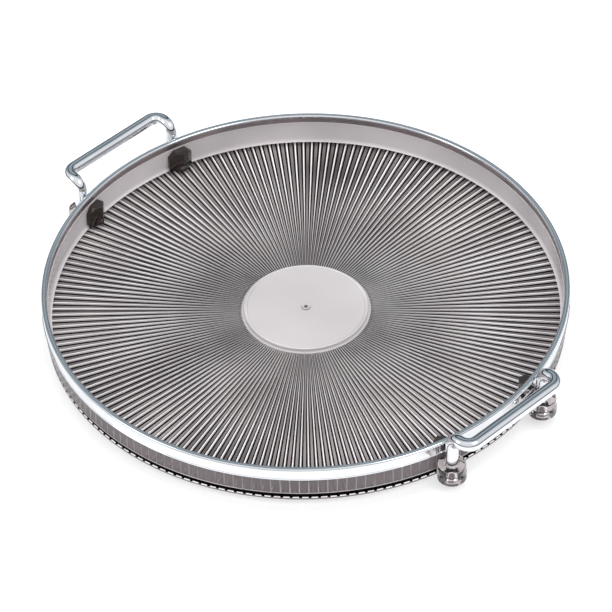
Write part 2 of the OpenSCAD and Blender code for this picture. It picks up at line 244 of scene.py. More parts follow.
@dataclass(frozen=True)
class SmokyPlastic:
    """Polished smoky plastic, thin enough to see through.

    Attributes:
        name: Material name.
        light: Colour in its lighter clouds.
        dark: Colour in its darker clouds.
        cover: Share of what lies behind that it hides.
        cloud: Clouds per metre.
        smooth: Roughness where it is well polished.
        worn: Roughness where it has been wiped.
        gloss: Strength of its mirror reflection.
        metal: How far it reflects like metal, which stands in for light caught inside a rib.
        inward: What is left of its colour near the bead, where the ribs crowd together; this darkening is
            painted shade.
        glow: Painted light: an even glow that stands in for light reaching it through the clear plastic.
    """

    name: str
    light: Colour
    dark: Colour
    cover: float
    cloud: float = 14.0
    smooth: float = 0.06
    worn: float = 0.16
    gloss: float = 0.5
    metal: float = 0.0
    inward: float = 1.0
    glow: float = 0.0

    def make(self) -> bpy.types.Material:
        """Builds the material.

        Returns:
            The finished material.
        """
        recipe = Recipe(self.name)
        recipe.set(IOR=1.49, Alpha=self.cover, Specular_IOR_Level=self.gloss, Metallic=self.metal)
        recipe.set(Emission_Color=WHITE, Emission_Strength=self.glow)
        recipe.blend_colour(recipe.noise(self.cloud, detail=2.0), self.dark, self.light)
        if self.inward < 1.0:
            recipe.dim_inward(self.inward)
        recipe.roughen(recipe.noise(scale=60.0), self.smooth, self.worn)
        recipe.bump(recipe.noise(scale=900.0, detail=2.0), height=0.02 * MM, strength=0.25)
        return recipe.material


@dataclass(frozen=True)
class ClearPlastic:
    """Thick clear plastic that bends what is seen through it.

    Attributes:
        name: Material name.
        light: Tint in its clearer places.
        dark: Tint in its darker places.
        smooth: Roughness where it is well polished.
        worn: Roughness where it has been wiped.
    """

    name: str
    light: Colour
    dark: Colour
    smooth: float = 0.01
    worn: float = 0.05

    def make(self) -> bpy.types.Material:
        """Builds the material.

        Returns:
            The finished material.
        """
        recipe = Recipe(self.name)
        recipe.set(IOR=1.49, Transmission_Weight=1.0)
        recipe.blend_colour(recipe.noise(scale=120.0, detail=2.0), self.dark, self.light)
        recipe.roughen(recipe.noise(scale=200.0), self.smooth, self.worn)
        recipe.bump(recipe.noise(scale=700.0, detail=2.0), height=0.02 * MM, strength=0.2)
        return recipe.material


@dataclass(frozen=True)
class BrightPlate:
    """Mirror-bright plating on rod or sheet.

    Attributes:
        name: Material name.
        tone: Reflected colour.
        tarnish: Colour where it has dulled a little.
        smooth: Roughness of the clean plate.
        wiped: Roughness where it has been handled.
    """

    name: str
    tone: Colour = (0.81, 0.82, 0.84)
    tarnish: Colour = (0.73, 0.75, 0.78)
    smooth: float = 0.012
    wiped: float = 0.05

    def make(self) -> bpy.types.Material:
        """Builds the material.

        Returns:
            The finished material.
        """
        recipe = Recipe(self.name)
        recipe.set(Metallic=1.0)
        recipe.blend_colour(recipe.noise(scale=35.0), self.tarnish, self.tone)
        recipe.roughen(recipe.noise(scale=120.0, detail=4.0), self.smooth, self.wiped)
        recipe.bump(recipe.noise(scale=420.0, detail=2.0), height=0.02 * MM, strength=0.15)
        return recipe.material


@dataclass(frozen=True)
class DullMetal:
    """Rolled, turned or zinc-plated metal.

    Attributes:
        name: Material name.
        tone: Colour of its clean areas.
        stain: Colour of its duller areas.
        rough: Middle roughness.
        grain: Grain lines per metre round the pivot.
    """

    name: str
    tone: Colour
    stain: Colour
    rough: float = 0.3
    grain: float = 1800.0

    def make(self) -> bpy.types.Material:
        """Builds the material.

        Returns:
            The finished material.
        """
        recipe = Recipe(self.name)
        recipe.set(Metallic=1.0)
        recipe.blend_colour(recipe.noise(scale=90.0), self.stain, self.tone)
        recipe.roughen(recipe.noise(scale=250.0, detail=4.0), self.rough * 0.7, self.rough * 1.3)
        grain = recipe.noise(self.grain, detail=2.0, stretch=(1.0, 1.0, 0.2))
        recipe.bump(grain, height=0.04 * MM, strength=0.3)
        return recipe.material


@dataclass(frozen=True)
class DrySolid:
    """Nylon or rubber, with a fine moulded grain.

    Attributes:
        name: Material name.
        tone: Main colour.
        dust: Colour of its paler patches.
        rough: Middle roughness.
        relief: Height of the grain in metres.
    """

    name: str
    tone: Colour
    dust: Colour
    rough: float
    relief: float = 0.08 * MM

    def make(self) -> bpy.types.Material:
        """Builds the material.

        Returns:
            The finished material.
        """
        recipe = Recipe(self.name)
        recipe.blend_colour(recipe.noise(scale=70.0), self.tone, self.dust)
        recipe.roughen(recipe.noise(scale=300.0), self.rough * 0.85, self.rough * 1.1)
        recipe.bump(recipe.noise(scale=1600.0), self.relief, strength=0.5)
        return recipe.material


# ---------------------------------------------------------------- bench


class Bench:
    """Modelling steps shared by the pieces. All of them work on the active object."""

    @staticmethod
    def clear() -> None:
        """Leaves edit mode and deselects everything."""
        if bpy.context.object and bpy.context.object.mode == "EDIT":
            bpy.ops.object.mode_set(mode="OBJECT")
        bpy.ops.object.select_all(action="DESELECT")

    @staticmethod
    def take(name: str) -> bpy.types.Object:
        """Names the primitive just added and opens it for editing.

        Args:
            name: The piece's name.

        Returns:
            The active object, in edit mode.
        """
        piece = bpy.context.object
        piece.name = name
        piece.data.name = name
        bpy.ops.object.transform_apply(location=True, rotation=True, scale=True)
        bpy.ops.object.mode_set(mode="EDIT")
        bpy.ops.mesh.select_all(action="SELECT")
        return piece

    @staticmethod
    def chain(name: str, points: Sequence[Point2], across: Point3 = (1.0, 0.0, 0.0),
              up: Point3 = UP) -> bpy.types.Object:
        """Draws an outline as one chain of edges, by extruding a vertex.

        Args:
            name: The piece's name.
            points: The outline, as (across, up) pairs.
            across: Direction of the first coordinate.
            up: Direction of the second coordinate.

        Returns:
            The object, in edit mode with the whole chain selected.
        """
        places = [Vector(across) * a + Vector(up) * b for a, b in points]
        Bench.clear()
        bpy.ops.mesh.primitive_plane_add(size=MM, location=places[0])
        piece = Bench.take(name)
        bpy.ops.mesh.merge(type="CENTER")
        for here, there in zip(places, places[1:]):
            Bench.extrude(there - here)
        bpy.ops.mesh.select_all(action="SELECT")
        return piece

    @staticmethod
    def extrude(step: Sequence[float]) -> None:
        """Extrudes the selection along a straight."""
        bpy.ops.mesh.extrude_region_move(TRANSFORM_OT_translate={"value": step})

    @staticmethod
    def spin(angle: float, steps: int, centre: Point3 = (0.0, 0.0, 0.0), axis: Point3 = UP,
             copies: bool = False) -> None:
        """Sweeps the selection round an axis, right-handed, which the operator counts as negative.

        Args:
            angle: Angle in radians.
            steps: Number of steps.
            centre: A point on the axis.
            axis: Direction of the axis.
            copies: Makes copies instead of a surface.
        """
        bpy.ops.mesh.spin(steps=steps, dupli=copies, angle=-angle, center=centre, axis=axis)

    @staticmethod
    def weld(gap: float = 0.002 * MM) -> None:
        """Merges doubles and turns every face outwards.

        Args:
            gap: Distance under which two vertices are one.
        """
        bpy.ops.mesh.select_all(action="SELECT")
        bpy.ops.mesh.remove_doubles(threshold=gap)
        bpy.ops.mesh.normals_make_consistent(inside=False)

    @staticmethod
    def turn(name: str, points: Sequence[Point2], steps: int,
             centre: Point2 = (0.0, 0.0)) -> bpy.types.Object:
        """Turns a whole outline round an upright axis.

        Args:
            name: The piece's name.
            points: The outline, as (radius, height) pairs.
            steps: Steps round the axis.
            centre: Where the axis stands.

        Returns:
            The object, in edit mode.
        """
        piece = Bench.chain(name, points)
        Bench.spin(FULL_TURN, steps)
        Bench.weld()
        if centre != (0.0, 0.0):
            bpy.ops.transform.translate(value=(*centre, 0.0))
        return piece

    @staticmethod
    def pick(piece: bpy.types.Object, wanted: Callable[[Vector], bool]) -> int:
        """Selects the vertices that pass a test.

        Args:
            piece: The object in edit mode.
            wanted: Test on a vertex's place.

        Returns:
            How many were selected.
        """
        bpy.ops.mesh.select_mode(type="VERT")
        bpy.ops.mesh.select_all(action="DESELECT")
        mesh = bmesh.from_edit_mesh(piece.data)
        found = [vertex for vertex in mesh.verts if wanted(vertex.co)]
        for vertex in found:
            vertex.select_set(True)
        mesh.select_flush_mode()
        bmesh.update_edit_mesh(piece.data)
        return len(found)

    @staticmethod
    def cut(at: Sequence[float], facing: Sequence[float]) -> None:
        """Cuts away what lies beyond a plane, and closes the cut.

        Args:
            at: A point on the plane.
            facing: The direction in which the material is cut away.
        """
        bpy.ops.mesh.select_all(action="SELECT")
        bpy.ops.mesh.bisect(plane_co=at, plane_no=facing, use_fill=True, clear_outer=True)

    @staticmethod
    def close(piece: bpy.types.Object, smooth_under: float = 32.0) -> None:
        """Leaves edit mode and shades the piece.

        Args:
            piece: The object.
            smooth_under: Edges flatter than this many degrees look smooth.
        """
        bpy.ops.object.mode_set(mode="OBJECT")
        piece.select_set(True)
        bpy.ops.object.shade_smooth_by_angle(angle=math.radians(smooth_under))

    @staticmethod
    def bevel(piece: bpy.types.Object, width: float, segments: int = 3, over: float = 30.0) -> None:
        """Rounds a piece's sharp edges with an applied modifier.

        Args:
            piece: The active object, in object mode.
            width: Width of the round.
            segments: Faces across the round.
            over: Angle in degrees above which an edge is rounded.
        """
        modifier = piece.modifiers.new("rounded_edges", "BEVEL")
        modifier.width = width
        modifier.segments = segments
        modifier.limit_method = "ANGLE"
        modifier.angle_limit = math.radians(over)
        bpy.ops.object.modifier_apply(modifier=modifier.name)

    @staticmethod
    def join(piece: bpy.types.Object, *others: bpy.types.Object) -> None:
        """Joins other pieces to a piece.

        Args:
            piece: The piece that stays.
            *others: The pieces that become part of it.
        """
        Bench.clear()
        for part in (piece, *others):
            part.select_set(True)
        bpy.context.view_layer.objects.active = piece
        bpy.ops.object.join()

    @staticmethod
    def ring(piece: bpy.types.Object, name: str, count: int) -> None:
        """Repeats a piece round the pivot and joins its copies to it.

        Args:
            piece: The first piece.
            name: First part of the copies' names.
            count: How many there are in the ring.
        """
        turns = [FULL_TURN * i / count for i in range(1, count)]
        Bench.join(piece, *(Bench.copy_round(piece, f"{name}_{i}", a) for i, a in enumerate(turns, 1)))

    @staticmethod
    def dress(piece: bpy.types.Object, *finishes: bpy.types.Material) -> None:
        """Gives a piece its materials.

        Args:
            piece: The piece.
            *finishes: A material for each slot.
        """
        piece.data.materials.clear()
        for finish in finishes:
            piece.data.materials.append(finish)

    @staticmethod
    def copy_round(piece: bpy.types.Object, name: str, angle: float) -> bpy.types.Object:
        """Copies a piece, with a mesh of its own, turned about the pivot.

        Args:
            piece: The piece to copy.
            name: The copy's name.
            angle: Angle in radians.

        Returns:
            The copy.
        """
        other = piece.copy()
        other.data = piece.data.copy()
        other.name = name
        other.data.name = name
        other.data.transform(Matrix.Rotation(angle, 4, "Z"))
        bpy.context.collection.objects.link(other)
        return other


def arc(centre: Point2, radius: float, start: float, end: float, steps: int) -> list[Point2]:
    """Gives the points of an arc in an outline.

    Args:
        centre: The arc's centre.
        radius: Its radius.
        start: Angle of the first point in degrees.
        end: Angle of the last point in degrees.
        steps: Number of chords.

    Returns:
        The points, both ends included.
    """
    angles = [math.radians(start + (end - start) * i / steps) for i in range(steps + 1)]
    return [(centre[0] + radius * math.cos(a), centre[1] + radius * math.sin(a)) for a in angles]


def place(piece: bpy.types.Object, body: Body, slot: str, *nodes: str) -> None:
    """Puts a finished piece on its body in place of its nodes, and reports it.

    Args:
        piece: The finished piece.
        body: The body that carries it.
        slot: Not used.
        *nodes: The nodes that it stands for.
    """
    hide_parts(*nodes)
    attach(piece, body.value)
    LOG.info("%s: %d faces, on %s", piece.name, len(piece.data.polygons), body.value)


def leg_place() -> Point2:
    """Gives where the handle leg at +X and +Y stands."""
    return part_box("handle_right")[0][0] + ROD_R, LEG_Y


def place_at_legs(first: bpy.types.Object, name: str, kind: str, slot: str) -> None:
    """Copies a piece that was made at +X to all four legs, and drops the first one.

    Args:
        first: The piece, with its middle in the XZ plane.
        name: First part of the copies' names.
        kind: First part of the nodes' names.
        slot: A material slot's name, passed on to place.
    """
    leg_x, leg_y = leg_place()
    for side in SIDES:
        for way in ("front", "back"):
            node = f"{kind}_{side}_{way}"
            low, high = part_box(node)
            x = math.copysign(leg_x, low[0] + high[0])
            y = math.copysign(leg_y, low[1] + high[1])
            place(Bench.copy_round(first, f"{name}_{node}", math.atan2(y, x)), Body.TRAY, slot, node)
    bpy.data.objects.remove(first)


# ---------------------------------------------------------------- tray


@dataclass
class TrayMoulding:
    """The ribbed floor, centre disc, bead and wall, moulded in one.

    Attributes:
        pitches: Number of ribs.
        fillet: Radius between floor and wall.
        bead_r: Outer radius of the bead.
        bead_w: Width of the bead.
        bead_h: Height of the bead.
        rib_h: Depth of the ribs.
        rib_gap: Distance from the bead to the ribs.
        rib_rise: Length over which a rib grows to its full depth.
        rib_fall: Length over which it ends at the wall.
        rib_clear: Distance from the wall's face to the ribs' ends.
        tip_w: Width of the ring of painted shade in which the ribs end.
        foot_h: Height of the wall's foot, painted in shade.
        lit_h: Height of the lit edge's top.
        lap: How far the wall is thinned under the band.
        lap_up: Height of the thinned part's start over the band's foot.
        boss_r: Radius of the boss.
        insert_r: Radius of the pocket for the insert.
        insert_h: Depth of that pocket.
        gate_r: Radius of the gate mark.
        gate_h: Height of its ring.
        gate_in: Inner radius of its ring.
        gate_mid_h: Height of its middle.
        pad_in: Inner radius of the race's pad.
        pad_out: Outer radius of that pad.
        wall_r: Outer radius of the wall.
        top: Height of the wall's top.
        boss_low: Height of the boss's foot.
        floor_low: Height of the floor's underside.
        floor_top: Height of the floor.
    """

    pitches: int = 180
    fillet: float = 3.0 * MM
    bead_r: float = 47.25 * MM
    bead_w: float = 2.6 * MM
    bead_h: float = 0.7 * MM
    rib_h: float = 1.6 * MM
    rib_gap: float = 2.0 * MM
    rib_rise: float = 2.5 * MM
    rib_fall: float = 0.4 * MM
    rib_clear: float = 0.2 * MM
    tip_w: float = 0.8 * MM
    foot_h: float = 1.3 * MM
    lit_h: float = 2.1 * MM
    lap: float = 1.4 * MM
    lap_up: float = 4.0 * MM
    boss_r: float = 12.0 * MM
    insert_r: float = 6.0 * MM
    insert_h: float = 4.6 * MM
    gate_r: float = 3.5 * MM
    gate_h: float = 0.5 * MM
    gate_in: float = 1.6 * MM
    gate_mid_h: float = 0.15 * MM
    pad_in: float = 85.0 * MM
    pad_out: float = 108.0 * MM
    wall_r: float = field(init=False)
    top: float = field(init=False)
    boss_low: float = field(init=False)
    floor_low: float = field(init=False)
    floor_top: float = field(init=False)

    # For each strip of a pitch: its share, the rib's depth at its far side and its look.
    # GROOVE and FLANK strips carry painted light and SHADE strips painted shade, for the bright and dark
    # lines that the clear ribs make by bending light.
    STRIPS = (
        (0.12, 0.0, Zone.GROOVE),
        (0.05, 0.75, Zone.FLANK),
        (0.22, 0.95, Zone.SHADE),
        (0.12, 1.0, Zone.CREST),
        (0.1, 1.0, Zone.CREST),
        (0.12, 0.95, Zone.CREST),
        (0.22, 0.75, Zone.SHADE),
        (0.05, 0.0, Zone.FLANK),
    )

    def __post_init__(self) -> None:
        """Takes the overall sizes from the frame."""
        low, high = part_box("tray_shell")
        self.wall_r = (high[0] - low[0]) / 2
        self.top = high[2]
        self.boss_low = low[2]
        self.floor_low = self.boss_low + BOSS_H
        self.floor_top = self.floor_low + FLOOR_T

    def outline(self) -> list[Point2]:
        """Gives the section from the axis underneath, round the wall, to the axis on top."""
        inner = self.wall_r - WALL_T
        lap_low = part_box("rim_band")[0][2] + self.lap_up
        rib_in = self.bead_r + self.rib_gap
        end = self.wall_r - self.rib_clear
        pocket = self.boss_low + self.insert_h
        under = [
            (0.0, pocket), (self.insert_r, pocket), (self.insert_r, self.boss_low),
            (self.boss_r, self.boss_low), (self.boss_r, self.floor_low),
            (rib_in, self.floor_low), (rib_in + self.rib_rise, self.floor_low),
            (end - 2.2 * MM, self.floor_low), (end - self.rib_fall, self.floor_low),
            (end - self.rib_fall / 4, self.floor_low), (end, self.floor_low),
        ]
        wall = [
            (self.wall_r, self.floor_low), (self.wall_r, self.floor_low + self.foot_h),
            (self.wall_r, self.floor_low + self.lit_h), (self.wall_r, self.top),
            (inner + self.lap, self.top), (inner + self.lap, lap_low), (inner, lap_low),
        ]
        corner = arc((inner - self.fillet, self.floor_top + self.fillet), self.fillet, 0.0, -90.0, 5)
        half = self.bead_w / 2
        bead = [(self.bead_r - half + half * x, self.floor_top + self.bead_h * y)
                for x, y in arc((0.0, 0.0), 1.0, 0.0, 180.0, 6)]
        gate_top = self.floor_top + self.gate_h
        middle = self.floor_top + self.gate_mid_h
        gate = [
            (self.gate_r, self.floor_top), (self.gate_r - 0.3 * MM, gate_top), (self.gate_in, gate_top),
            (self.gate_in - 0.3 * MM, middle), (0.0, middle),
        ]
        return under + wall + corner + bead + gate

    def rib_depth(self, radius: float) -> float:
        """Gives a rib's share of its full depth at a radius.

        Args:
            radius: Distance from the pivot.

        Returns:
            From 0, level with the floor's underside, to 1.
        """
        rise = (radius - self.bead_r - self.rib_gap) / self.rib_rise
        fall = (self.wall_r - self.rib_clear - radius) / self.rib_fall
        return math.sqrt(max(0.0, min(1.0, rise, fall)))

    def build_sector(self) -> bpy.types.Object:
        """Models one pitch: the section spun strip by strip, with its rib drawn down."""
        piece = Bench.chain("tray_moulding", self.outline())
        pitch = FULL_TURN / self.pitches
        for share, _, _ in self.STRIPS:
            Bench.spin(share * pitch, 1)
        reached = 0.0
        for share, depth, _ in self.STRIPS:
            reached += share
            if depth > 0:
                self.draw_down(piece, reached * pitch, depth * self.rib_h)
        return piece

    def draw_down(self, piece: bpy.types.Object, angle: float, depth: float) -> None:
        """Moves one row of the underside down to make a rib.

        Args:
            piece: The sector in edit mode.
            angle: Where the row lies about the pivot.
            depth: How far it goes down.
        """
        on_floor = {r for r, z in self.outline() if abs(z - self.floor_low) < HAIR}
        for radius in sorted(r for r in on_floor if self.rib_depth(r) > 0):
            def on_row(place: Vector, radius: float = radius) -> bool:
                """Tells if a vertex is on this row and ring."""
                level = abs(place.z - self.floor_low) < HAIR
                turned = abs(abs(math.atan2(place.y, place.x)) - angle) < SLIVER
                return level and turned and abs(math.hypot(place.x, place.y) - radius) < 2 * HAIR
            if Bench.pick(piece, on_row):
                bpy.ops.transform.translate(value=(0.0, 0.0, -depth * self.rib_depth(radius)))

    def strip_look(self, place: Vector) -> Zone:
        """Tells which strip of its pitch a place lies on.

        Args:
            place: A point of the moulding.

        Returns:
            The strip's look.
        """
        share = (math.atan2(place.y, place.x) / FULL_TURN * self.pitches) % 1.0
        for width, _, look in self.STRIPS:
            share -= width
            if share < 0:
                break
        return look

    def zone(self, face: bpy.types.MeshPolygon) -> Zone:
        """Tells which look a face has.

        Args:
            face: A face of the finished moulding.

        Returns:
            Its zone.
        """
        radius = math.hypot(face.center.x, face.center.y)
        height = face.center.z
        look = self.strip_look(face.center)
        # Rib ends near the wall are painted shade.
        if height < self.floor_low + HAIR and radius > self.bead_r + self.rib_gap / 2:
            return Zone.SHADE if radius > self.wall_r - self.tip_w else look
        if radius > self.wall_r - 0.1 * MM:
            # The wall's foot is painted shade, where the ribs keep it dark.
            if height < self.floor_low + self.foot_h:
                return Zone.SHADE
            # A thin painted highlight above the shaded foot.
            if height < self.floor_low + self.lit_h:
                return Zone.PAINTED_FOOT_HIGHLIGHT
            # Where a groove meets the outer wall, a thin line of painted highlight.
            return Zone.PAINTED_WALL_HIGHLIGHT if look is Zone.GROOVE else Zone.OUTER_WALL
        # The inner face of the wall is painted pale: painted light over the smoky plastic.
        if radius > self.wall_r - WALL_T - 0.6 * self.fillet:
            return Zone.INNER_WALL
        if radius > self.bead_r:
            return Zone.SKIN
        on_gate_edge = self.gate_r - 0.4 * MM < radius < self.gate_r + 0.1 * MM
        if on_gate_edge or radius < self.gate_in - 0.1 * MM:
            return Zone.OUTER_WALL
        return Zone.BEAD if radius > self.bead_r - self.bead_w else Zone.DISC

    def build(self, looks: dict[Zone, bpy.types.Material]) -> None:
        """Models, dresses and places the moulding.

        Args:
            looks: A material for each zone.
        """
        piece = self.build_sector()
        bpy.ops.mesh.select_mode(type="VERT")
        bpy.ops.mesh.select_all(action="SELECT")
        rest = FULL_TURN * (self.pitches - 1) / self.pitches
        Bench.spin(rest, self.pitches - 1, copies=True)
        Bench.weld()
        Bench.close(piece, 35.0)
        Bench.dress(piece, *(looks[look] for look in Zone))
        for face in piece.data.polygons:
            face.material_index = self.zone(face).value
        self.add_pad(piece, looks[Zone.OUTER_WALL])
        place(piece, Body.TRAY, "smoky_plastic", "tray_shell")

    def add_pad(self, tray: bpy.types.Object, finish: bpy.types.Material) -> None:
        """Joins the ring that the upper race is screwed to, just under the ribs.

        Args:
            tray: The finished moulding.
            finish: The ring's material.
        """
        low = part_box("upper_race")[1][2]
        high = self.floor_low - self.rib_h - 2 * HAIR
        edge = 0.2 * MM
        ring = Bench.turn("race_pad", [
            (self.pad_in, high), (self.pad_in, low + edge), (self.pad_in + edge, low),
            (self.pad_out - edge, low), (self.pad_out, low + edge), (self.pad_out, high), (self.pad_in, high),
        ], 120)
        Bench.close(ring)
        Bench.dress(ring, finish)
        Bench.join(tray, ring)


@dataclass
class RimBand:
    """The bright band folded over the top of the wall.

    Attributes:
        sheet: Thickness of the sheet.
        edge_r: Radius of its top edges.
        flange_h: Height of its inner flange.
        lip: How far its lip stands out from its face.
        lip_h: Height of the lip.
        edge: Radius of the lip's foot.
        grip: How far it reaches in over the wall.
        play: Gap between its hem and the wall.
    """

    sheet: float = 0.8 * MM
    edge_r: float = 1.8 * MM
    flange_h: float = 6.5 * MM
    lip: float = 0.4 * MM
    lip_h: float = 1.5 * MM
    edge: float = 0.5 * MM
    grip: float = 2.5 * MM
    play: float = 0.05 * MM

    def outline(self) -> list[Point2]:
        """Gives the closed section of the folded sheet."""
        low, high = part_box("rim_band")
        outer = (high[0] - low[0]) / 2
        wall_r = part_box("tray_shell")[1][0]
        inner = wall_r - self.grip
        foot, top = low[2], high[2]
        face = outer - self.lip
        inside = face - self.sheet
        hem = wall_r + self.play
        crown = top - self.edge_r
        flange = top - self.flange_h
        small = self.edge_r - self.sheet
        return [
            (hem, foot), (outer - self.edge, foot),
            *arc((outer - self.edge, foot + self.edge), self.edge, -60.0, 0.0, 3),
            (outer, foot + self.lip_h - self.lip), (face, foot + self.lip_h), (face, crown - 1.0 * MM),
            *arc((outer - self.edge_r, crown), self.edge_r, 0.0, 90.0, 7),
            *arc((inner + self.edge_r, crown), self.edge_r, 90.0, 180.0, 7),
            (inner, flange + 0.2 * MM), (inner + 0.2 * MM, flange),
            (inner + self.sheet, flange), (inner + self.sheet, crown),
            *arc((inner + self.edge_r, crown), small, 180.0, 90.0, 3),
            (inside - small, crown + small), (inside, crown), (inside, foot + self.sheet),
            (hem, foot + self.sheet), (hem, foot),
        ]

    def build(self, plate: bpy.types.Material, shaded: bpy.types.Material) -> None:
        """Models, dresses and places the band.

        Args:
            plate: Its material.
            shaded: A rougher copy of the plate for its inner flange, darker and browner as painted shade and
                a painted reflection of the smoky floor.
        """
        piece = Bench.turn("rim_band_plate", self.outline(), 360)
        Bench.close(piece, 40.0)
        Bench.dress(piece, plate, shaded)
        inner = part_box("tray_shell")[1][0] - self.grip + 0.1 * MM
        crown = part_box("rim_band")[1][2] - self.edge_r
        # Faces of the inner flange below the crown get the darker copy: painted shade.
        for face in piece.data.polygons:
            if math.hypot(face.center.x, face.center.y) < inner and face.center.z < crown:
                face.material_index = 1
        place(piece, Body.TRAY, "bright_plate", "rim_band")


@dataclass
class RodHandle:
    """A bent rod handle with two legs.

    Attributes:
        side: "right" for the handle at +X, "left" for the one at -X.
        sides: Faces round the rod.
        bend_steps: Steps in a bend.
        chamfer: Width of the chamfer round a leg's end.
    """

    side: str
    sides: int = 40
    bend_steps: int = 14
    chamfer: float = 0.5 * MM

    def build(self, plate: bpy.types.Material) -> None:
        """Models, dresses and places the handle.

        Args:
            plate: Its material.
        """
        low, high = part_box(f"handle_{self.side}")
        way = 1.0 if self.side == "right" else -1.0
        rod_r = (high[1] - low[1]) / 2 - LEG_Y
        foot = low[2]
        grip_z = high[2] - rod_r
        inward, outward = (low[0], high[0]) if way > 0 else (high[0], low[0])
        leg_x = inward + way * rod_r
        grip_x = outward - way * rod_r
        bend = abs(grip_x - leg_x) / 2
        bend_x = leg_x + way * bend
        shoulder = grip_z - bend
        tip_r = rod_r - self.chamfer
        wider = rod_r / tip_r
        Bench.clear()
        bpy.ops.mesh.primitive_circle_add(vertices=self.sides, radius=tip_r, location=(leg_x, -LEG_Y, foot))
        piece = Bench.take(f"rod_handle_{self.side}")
        Bench.extrude((0.0, 0.0, self.chamfer))
        bpy.ops.transform.resize(value=(wider, wider, 1.0), center_override=(leg_x, -LEG_Y, foot))
        Bench.extrude((0.0, 0.0, shoulder - foot - self.chamfer))
        self.bend_round((bend_x, -LEG_Y, shoulder), (0.0, way, 0.0))
        self.bend_round((bend_x, -LEG_Y + bend, grip_z), (0.0, 0.0, way))
        Bench.extrude((0.0, 2 * (LEG_Y - bend), 0.0))
        self.bend_round((bend_x, LEG_Y - bend, grip_z), (0.0, 0.0, way))
        self.bend_round((bend_x, LEG_Y, shoulder), (0.0, -way, 0.0))
        Bench.extrude((0.0, 0.0, foot + self.chamfer - shoulder))
        Bench.extrude((0.0, 0.0, -self.chamfer))
        bpy.ops.transform.resize(value=(1 / wider, 1 / wider, 1.0), center_override=(leg_x, LEG_Y, foot))
        bpy.ops.mesh.select_all(action="SELECT")
        bpy.ops.mesh.fill_holes(sides=self.sides)
        Bench.weld()
        Bench.close(piece, 35.0)
        Bench.dress(piece, plate)
        place(piece, Body.TRAY, "bright_plate", f"handle_{self.side}")

    def bend_round(self, centre: Point3, axis: Point3) -> None:
        """Extrudes the open end round a quarter bend.

        Args:
            centre: Centre of the bend.
            axis: Its axis, about which the rod turns right-handed.
        """
        Bench.spin(math.pi / 2, self.bend_steps, centre, axis)


@dataclass
class LegSocket:
    """A round smoky cup outside the wall, which holds the foot of one handle leg.

    Attributes:
        radius: Its outer radius.
        step: How much narrower it is above the groove.
        groove: Depth of the groove round its middle.
        edge: Radius of its outer edges.
        leg_r: Radius of the bore for the leg.
        head_r: Radius of the bore for the screw's head.
        shank_r: Radius of the bore for the screw.
        waist_at: Share of its height at which the groove lies.
        play: Gap between its flat side and the wall.
    """

    radius: float = 11.0 * MM
    step: float = 0.5 * MM
    groove: float = 0.9 * MM
    edge: float = 1.4 * MM
    leg_r: float = 5.1 * MM
    head_r: float = 4.3 * MM
    shank_r: float = 2.2 * MM
    waist_at: float = 0.52
    play: float = 0.05 * MM

    def outline(self) -> list[Point2]:
        """Gives the closed section of the cup about the leg."""
        low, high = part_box("socket_right_front")
        leg_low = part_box("handle_right")[0][2]
        gasket_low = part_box("leg_gaskets")[0][2]
        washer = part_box("leg_washers")
        foot, top = low[2], high[2]
        waist = foot + self.waist_at * (top - foot)
        neck = self.radius - self.groove
        upper = self.radius - self.step
        return [
            (self.head_r, foot),
            *arc((self.radius - self.edge, foot + self.edge), self.edge, -90.0, 0.0, 4),
            (self.radius, waist - 1.2 * MM), (neck, waist - 0.4 * MM),
            (neck, waist + 0.4 * MM), (upper, waist + 1.2 * MM),
            *arc((upper - self.edge, top - self.edge), self.edge, 0.0, 90.0, 4),
            (self.leg_r + 0.5 * MM, top), (self.leg_r, top - 0.5 * MM), (self.leg_r, leg_low),
            (self.leg_r, gasket_low), (self.shank_r, gasket_low), (self.shank_r, washer[1][2]),
            (self.head_r, washer[1][2]), (self.head_r, foot),
        ]

    def build(self, plastic: bpy.types.Material) -> None:
        """Models one cup and copies it to all four legs.

        Args:
            plastic: Its material.
        """
        wall_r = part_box("tray_shell")[1][0]
        first = Bench.turn("leg_socket", self.outline(), 48, (math.hypot(*leg_place()), 0.0))
        Bench.cut((wall_r + self.play, 0.0, 0.0), (-1.0, 0.0, 0.0))
        Bench.weld()
        Bench.close(first, 35.0)
        Bench.dress(first, plastic)
        place_at_legs(first, "leg", "socket", "clear_socket")


